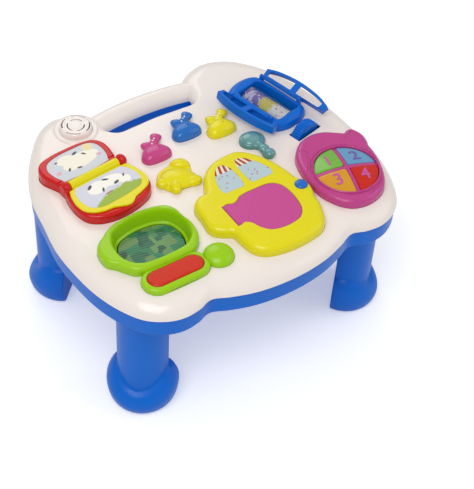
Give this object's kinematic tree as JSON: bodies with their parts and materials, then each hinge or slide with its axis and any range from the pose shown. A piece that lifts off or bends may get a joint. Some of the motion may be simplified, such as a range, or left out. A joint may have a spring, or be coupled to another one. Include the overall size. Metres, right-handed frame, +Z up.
{
  "type": "musical activity table",
  "caption": "Low baby activity table: white top on blue legs, flip book, drum, press buttons, bell, lamp, house with flap door, shuttered window with roller, number pad, speaker, handle.",
  "frame": {"origin": "on the floor, under the middle of the table's bounding box", "axes": "+X to the right of the child who sits at the front, +Y to the rear edge with the handle, +Z up"},
  "size_m": [0.4903, 0.433, 0.269],
  "materials": {
    "white_shell": "semi-gloss moulded white plastic",
    "blue_plastic": "semi-gloss moulded blue plastic",
    "red_plastic": "semi-gloss moulded red plastic",
    "yellow_plastic": "semi-gloss moulded yellow plastic",
    "lime_plastic": "semi-gloss moulded lime plastic",
    "magenta_plastic": "semi-gloss moulded magenta plastic",
    "pink_plastic": "semi-gloss moulded pink plastic",
    "pouch_pink": "glossy pink plastic",
    "button_blue": "glossy blue plastic",
    "stick_red": "glossy red plastic",
    "key_green": "glossy green plastic",
    "key_blue": "glossy light blue plastic",
    "key_orange": "glossy amber plastic",
    "key_red": "glossy red plastic",
    "lamp_lens": "see-through teal plastic lens",
    "drum_window": "see-through green plastic pad",
    "roller_clear": "clear plastic tube",
    "roller_print": "printed drum with coloured swirls",
    "print": "printed film",
    "steel": "plated steel",
    "board_green": "glass-fibre circuit board",
    "black_plastic": "black moulded plastic",
    "speaker_dark": "dark pressed frame and paper cone"
  },
  "bodies": {
    "table": {"top_shell": "white_shell", "speaker_grille": "white_shell", "base_shell": "blue_plastic", "leg_front_left": "blue_plastic", "leg_front_right": "blue_plastic", "leg_rear_left": "blue_plastic", "leg_rear_right": "blue_plastic", "battery_door": "blue_plastic", "window_frame": "blue_plastic", "book_base": "red_plastic", "house_panel": "yellow_plastic", "drum_housing": "lime_plastic", "drumstick_head": "lime_plastic", "number_panel": "magenta_plastic", "maraca_lamp": "lamp_lens", "book_cover_sticker": "print", "house_picture": "print", "house_window_left": "print", "house_window_right": "print", "battery_1": "steel", "battery_2": "steel", "battery_3": "steel", "shell_screw_1": "steel", "shell_screw_2": "steel", "shell_screw_3": "steel", "shell_screw_4": "steel", "shell_screw_5": "steel", "shell_screw_6": "steel", "battery_door_screw": "steel", "battery_contact_left": "steel", "battery_contact_right": "steel", "book_hinge_pin": "steel", "house_door_pin": "steel", "shutter_pin_left": "steel", "shutter_pin_right": "steel", "main_board": "board_green", "number_board": "board_green", "drum_board": "board_green", "speaker_driver": "speaker_dark"},
    "power_switch": {"power_switch": "black_plastic"},
    "page": {"book_page": "yellow_plastic", "book_page_sticker": "print"},
    "house_door": {"house_door": "pink_plastic"},
    "shutter_left": {"shutter_left": "blue_plastic"},
    "shutter_right": {"shutter_right": "blue_plastic"},
    "roller": {"roller_tube": "roller_clear", "roller_drum": "roller_print", "roller_axle": "steel", "roller_wheel": "blue_plastic"},
    "drum_pad": {"drum_pad": "drum_window"},
    "drumstick_key": {"drumstick_key": "stick_red"},
    "pouch_pink": {"pouch_pink": "pouch_pink"},
    "pouch_blue": {"pouch_blue": "button_blue"},
    "pouch_yellow": {"pouch_yellow": "yellow_plastic"},
    "bell_button": {"bell_button": "yellow_plastic"},
    "doorbell_button": {"doorbell_button": "button_blue"},
    "key_1": {"key_1": "key_green"},
    "key_2": {"key_2": "key_blue"},
    "key_3": {"key_3": "key_orange"},
    "key_4": {"key_4": "key_red"}
  },
  "joints": [
    {"name": "power_switch_slide", "type": "slide", "parent": "table", "child": "power_switch", "axis": [1, 0, 0], "range_m": [0, 0.006]},
    {"name": "page_hinge", "type": "hinge", "parent": "table", "child": "page", "pos_m": [-0.1467, 0.0578, 0.2541], "axis": [-0.994, -0.1097, 0], "range_deg": [0, 175]},
    {"name": "door_hinge", "type": "hinge", "parent": "table", "child": "house_door", "pos_m": [-0.028, -0.1055, 0.2513], "axis": [0, -1, 0], "range_deg": [0, 100]},
    {"name": "shutter_left_hinge", "type": "hinge", "parent": "table", "child": "shutter_left", "pos_m": [0.11935, 0.06258, 0.2576], "axis": [-0.225, 0.9744, 0], "range_deg": [0, 168]},
    {"name": "shutter_right_hinge", "type": "hinge", "parent": "table", "child": "shutter_right", "pos_m": [0.17976, 0.07652, 0.2576], "axis": [0.225, -0.9744, 0], "range_deg": [0, 155]},
    {"name": "roller_spin", "type": "hinge", "parent": "table", "child": "roller", "pos_m": [0.15296, 0.07034, 0.23], "axis": [-0.225, 0.9744, 0], "continuous": true},
    {"name": "drum_pad_press", "type": "slide", "parent": "table", "child": "drum_pad", "axis": [0, 0, -1], "range_m": [0, 0.002], "stiffness_N_per_m": 350, "springref_m": -0.002},
    {"name": "drumstick_key_press", "type": "slide", "parent": "table", "child": "drumstick_key", "axis": [0, 0, -1], "range_m": [0, 0.002], "stiffness_N_per_m": 350, "springref_m": -0.002},
    {"name": "pouch_pink_press", "type": "slide", "parent": "table", "child": "pouch_pink", "axis": [0, 0, -1], "range_m": [0, 0.002], "stiffness_N_per_m": 400, "springref_m": -0.002},
    {"name": "pouch_blue_press", "type": "slide", "parent": "table", "child": "pouch_blue", "axis": [0, 0, -1], "range_m": [0, 0.002], "stiffness_N_per_m": 400, "springref_m": -0.002},
    {"name": "pouch_yellow_press", "type": "slide", "parent": "table", "child": "pouch_yellow", "axis": [0, 0, -1], "range_m": [0, 0.002], "stiffness_N_per_m": 400, "springref_m": -0.002},
    {"name": "bell_button_press", "type": "slide", "parent": "table", "child": "bell_button", "axis": [0, 0, -1], "range_m": [0, 0.002], "stiffness_N_per_m": 400, "springref_m": -0.002},
    {"name": "doorbell_button_press", "type": "slide", "parent": "table", "child": "doorbell_button", "axis": [0, 0, -1], "range_m": [0, 0.002], "stiffness_N_per_m": 350, "springref_m": -0.002},
    {"name": "key_1_press", "type": "slide", "parent": "table", "child": "key_1", "axis": [0, 0, -1], "range_m": [0, 0.002], "stiffness_N_per_m": 400, "springref_m": -0.002},
    {"name": "key_2_press", "type": "slide", "parent": "table", "child": "key_2", "axis": [0, 0, -1], "range_m": [0, 0.002], "stiffness_N_per_m": 400, "springref_m": -0.002},
    {"name": "key_3_press", "type": "slide", "parent": "table", "child": "key_3", "axis": [0, 0, -1], "range_m": [0, 0.002], "stiffness_N_per_m": 400, "springref_m": -0.002},
    {"name": "key_4_press", "type": "slide", "parent": "table", "child": "key_4", "axis": [0, 0, -1], "range_m": [0, 0.002], "stiffness_N_per_m": 400, "springref_m": -0.002}
  ]
}
